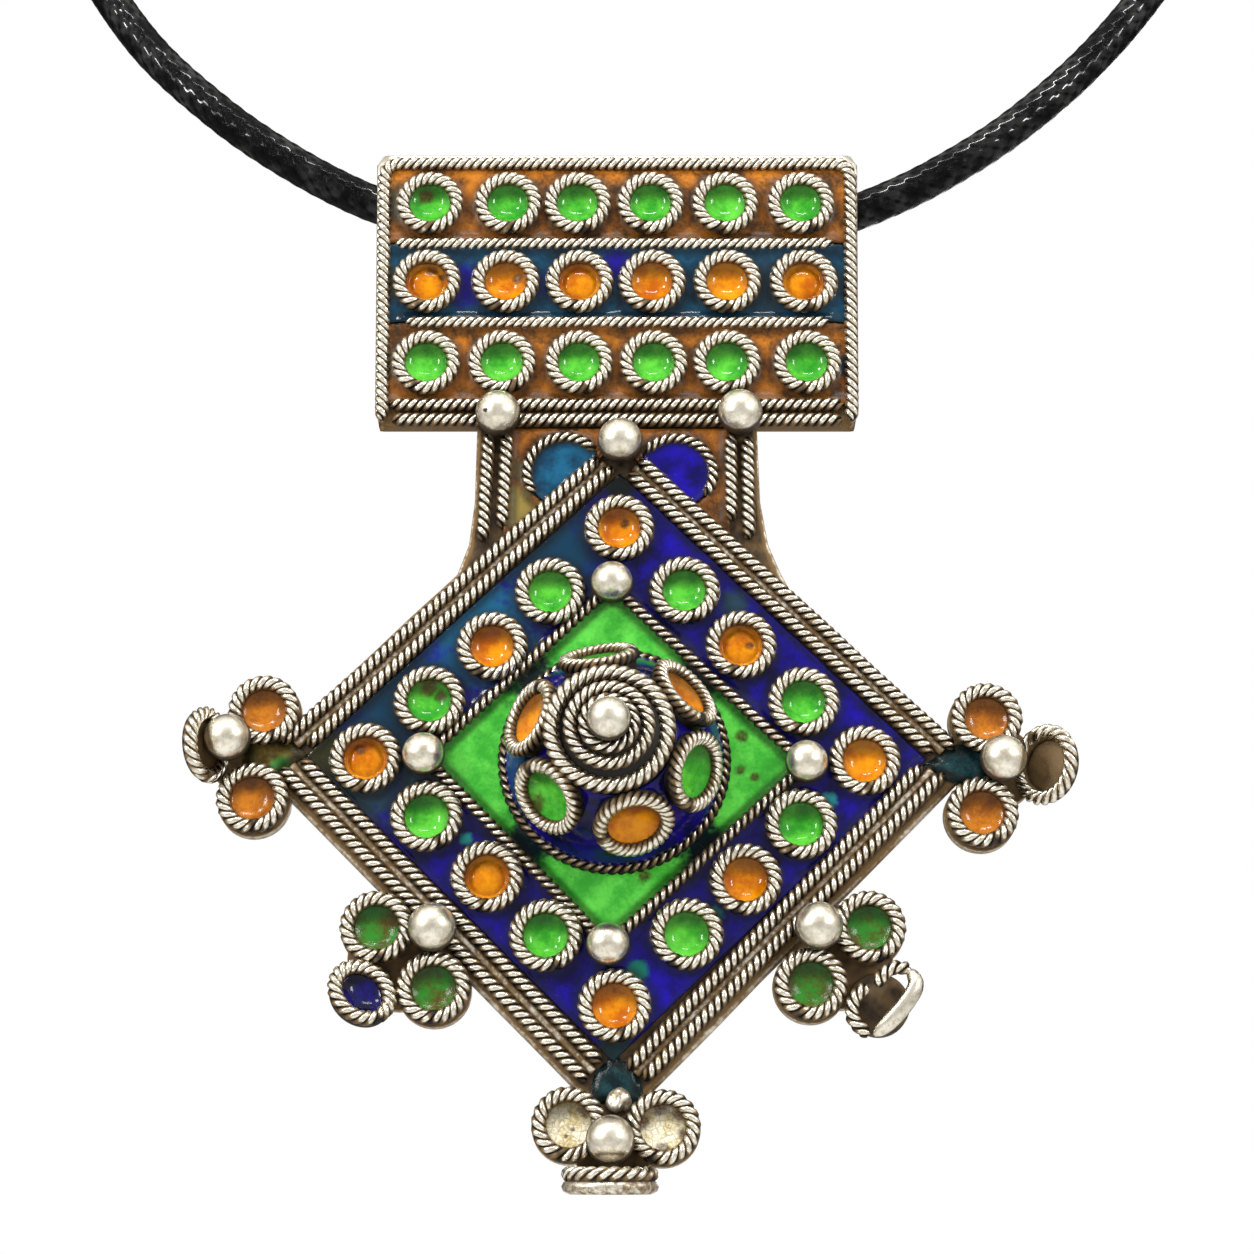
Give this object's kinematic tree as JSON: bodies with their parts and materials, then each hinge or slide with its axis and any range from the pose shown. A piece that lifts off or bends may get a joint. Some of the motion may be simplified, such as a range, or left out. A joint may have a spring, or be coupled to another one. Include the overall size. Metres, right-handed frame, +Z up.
{
  "type": "enamel pendant necklace",
  "caption": "Lozenge pendant of soldered silver with a domed boss, rope wire and enamel drops, hanging by its rolled bail on a braided cord that closes in a barrel clasp.",
  "frame": {"origin": "underside of the clasp at the top of the loop, where the necklace rests on the nape", "axes": "+Z up, +X to the right as the pendant's face is seen, the face looks along -Y"},
  "size_m": [0.113, 0.0176, 0.2271],
  "materials": {
    "tarnished_silver": "bright worn silver, brown tarnish in its recesses",
    "enamel_brown": "glossy amber brown enamel, mottled",
    "enamel_blue": "glossy cobalt enamel",
    "enamel_teal": "glossy slate blue enamel",
    "enamel_green": "glossy bright green enamel",
    "enamel_orange": "glossy orange enamel",
    "enamel_pale": "pale yellow enamel with fine cracks",
    "black_braid": "black waxed braid",
    "clasp_silver": "plain satin silver"
  },
  "bodies": {
    "cord_loop": {"cord": "black_braid", "clasp": "clasp_silver"},
    "pendant": {"silver_frame": "tarnished_silver", "bail_field_top": "enamel_brown", "bail_field_middle": "enamel_blue", "bail_field_bottom": "enamel_brown", "neck_field": "enamel_brown", "neck_moon_left": "enamel_teal", "neck_moon_right": "enamel_blue", "band_field": "enamel_blue", "corner_field_top": "enamel_green", "corner_field_right": "enamel_green", "corner_field_bottom": "enamel_green", "corner_field_left": "enamel_green", "tip_field_left": "enamel_brown", "tip_field_right": "enamel_teal", "tip_field_bottom": "enamel_teal", "boss_field": "enamel_blue", "bail_drops_top": "enamel_green", "bail_drops_middle": "enamel_orange", "bail_drops_bottom": "enamel_green", "band_drop_1": "enamel_orange", "band_drop_2": "enamel_green", "band_drop_3": "enamel_orange", "band_drop_4": "enamel_green", "band_drop_5": "enamel_orange", "band_drop_6": "enamel_green", "band_drop_7": "enamel_orange", "band_drop_8": "enamel_green", "band_drop_9": "enamel_orange", "band_drop_10": "enamel_green", "band_drop_11": "enamel_orange", "band_drop_12": "enamel_green", "band_drop_13": "enamel_orange", "band_drop_14": "enamel_green", "band_drop_15": "enamel_orange", "band_drop_16": "enamel_green", "boss_drop_1": "enamel_green", "boss_drop_2": "enamel_orange", "boss_drop_3": "enamel_green", "boss_drop_4": "enamel_orange", "boss_drop_5": "enamel_green", "boss_drop_6": "enamel_orange", "cup_drop_left_1": "enamel_orange", "cup_drop_left_2": "enamel_orange", "cup_drop_right_1": "enamel_orange", "cup_drop_right_2": "enamel_orange", "cup_drop_lower_left_1": "enamel_green", "cup_drop_lower_left_2": "enamel_green", "cup_drop_lower_right_1": "enamel_green", "cup_drop_lower_right_2": "enamel_green", "cup_drop_bottom_1": "enamel_pale", "cup_drop_bottom_2": "enamel_pale", "cup_drop_lower_left_3": "enamel_blue"}
  },
  "joints": [
    {"name": "pendant_swing", "type": "hinge", "parent": "cord_loop", "child": "pendant", "pos_m": [0, 0, -0.14], "axis": [1, 0, 0], "range_deg": [-75, 75]}
  ]
}
